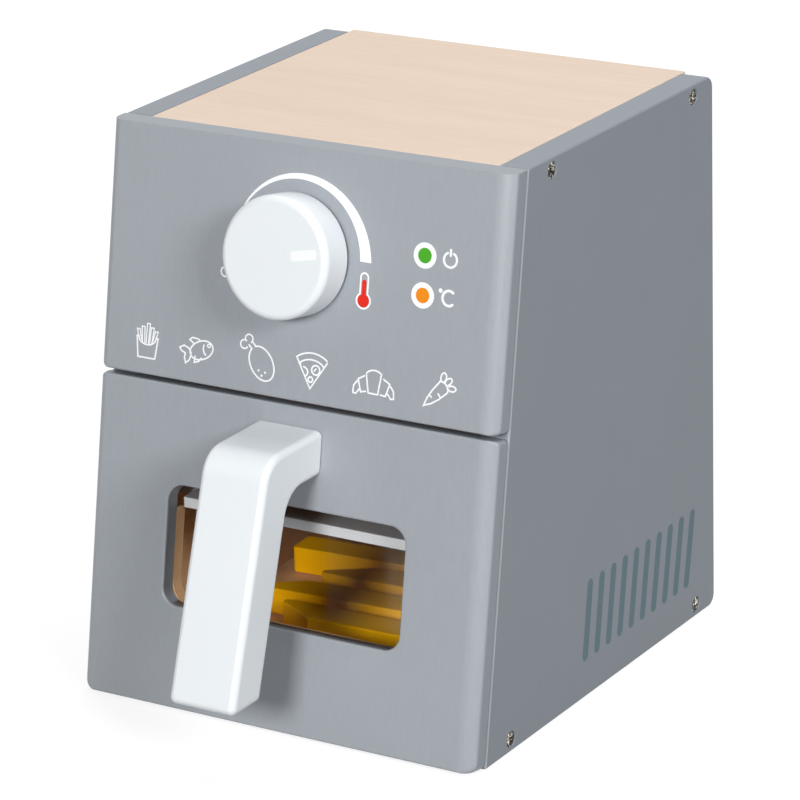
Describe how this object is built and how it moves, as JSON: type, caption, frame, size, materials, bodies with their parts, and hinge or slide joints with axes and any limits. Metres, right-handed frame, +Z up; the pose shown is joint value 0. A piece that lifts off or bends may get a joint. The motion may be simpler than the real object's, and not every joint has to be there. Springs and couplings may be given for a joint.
{
  "type": "toy air fryer",
  "caption": "Wooden toy air fryer: painted case with a sloped front, a turning knob, and a sliding drawer with a handle, a clear window and loose wooden fries.",
  "frame": {"origin": "on the ground, under the middle of the bottom panel", "axes": "+X to the right and +Y to the back as seen from the front, +Z up; the sloped front faces -Y"},
  "size_m": [0.1676, 0.2272, 0.21],
  "materials": {
    "grey_paint": "wood painted blue-grey, satin",
    "white_paint": "wood painted white, satin",
    "pale_wood": "bare pale wood, fine grain",
    "tan_wood": "bare plywood, lightly varnished",
    "pale_grey": "wood painted pale grey, satin",
    "yellow_paint": "wood painted yellow, satin",
    "clear_pane": "clear sheet",
    "dark_washer": "dark fibre washer",
    "steel": "zinc plated screw steel"
  },
  "bodies": {
    "case": {"side_panel_left": "grey_paint", "side_panel_right": "grey_paint", "top_panel": "pale_wood", "bottom_panel": "pale_wood", "back_panel": "grey_paint", "shelf_panel": "pale_wood", "control_panel": "grey_paint", "control_panel_dowel_left_lower": "pale_wood", "control_panel_dowel_left_upper": "pale_wood", "control_panel_dowel_right_lower": "pale_wood", "control_panel_dowel_right_upper": "pale_wood", "case_screw_left_top_front": "steel", "case_screw_left_top_rear": "steel", "case_screw_left_bottom_front": "steel", "case_screw_left_bottom_rear": "steel", "case_screw_right_top_front": "steel", "case_screw_right_top_rear": "steel", "case_screw_right_bottom_front": "steel", "case_screw_right_bottom_rear": "steel"},
    "knob": {"knob": "white_paint", "knob_spacer": "dark_washer", "knob_spindle": "pale_wood", "knob_washer": "steel", "knob_screw": "steel"},
    "drawer": {"drawer_front": "grey_paint", "drawer_liner": "tan_wood", "window_rail": "pale_grey", "window_pane": "clear_pane", "drawer_side_left": "tan_wood", "drawer_side_right": "tan_wood", "drawer_back": "tan_wood", "drawer_floor": "tan_wood", "handle": "white_paint", "handle_screw_left": "steel", "handle_screw_right": "steel", "fry_rear": "yellow_paint", "fry_back_middle": "yellow_paint", "fry_front_middle": "yellow_paint", "fry_front": "yellow_paint"}
  },
  "joints": [
    {"name": "drawer_slide", "type": "slide", "parent": "case", "child": "drawer", "axis": [0, -1, 0], "range_m": [0, 0.12]},
    {"name": "knob_turn", "type": "hinge", "parent": "case", "child": "knob", "pos_m": [-0.0023, -0.06517, 0.17205], "axis": [0, -0.984, 0.1779], "continuous": true}
  ]
}
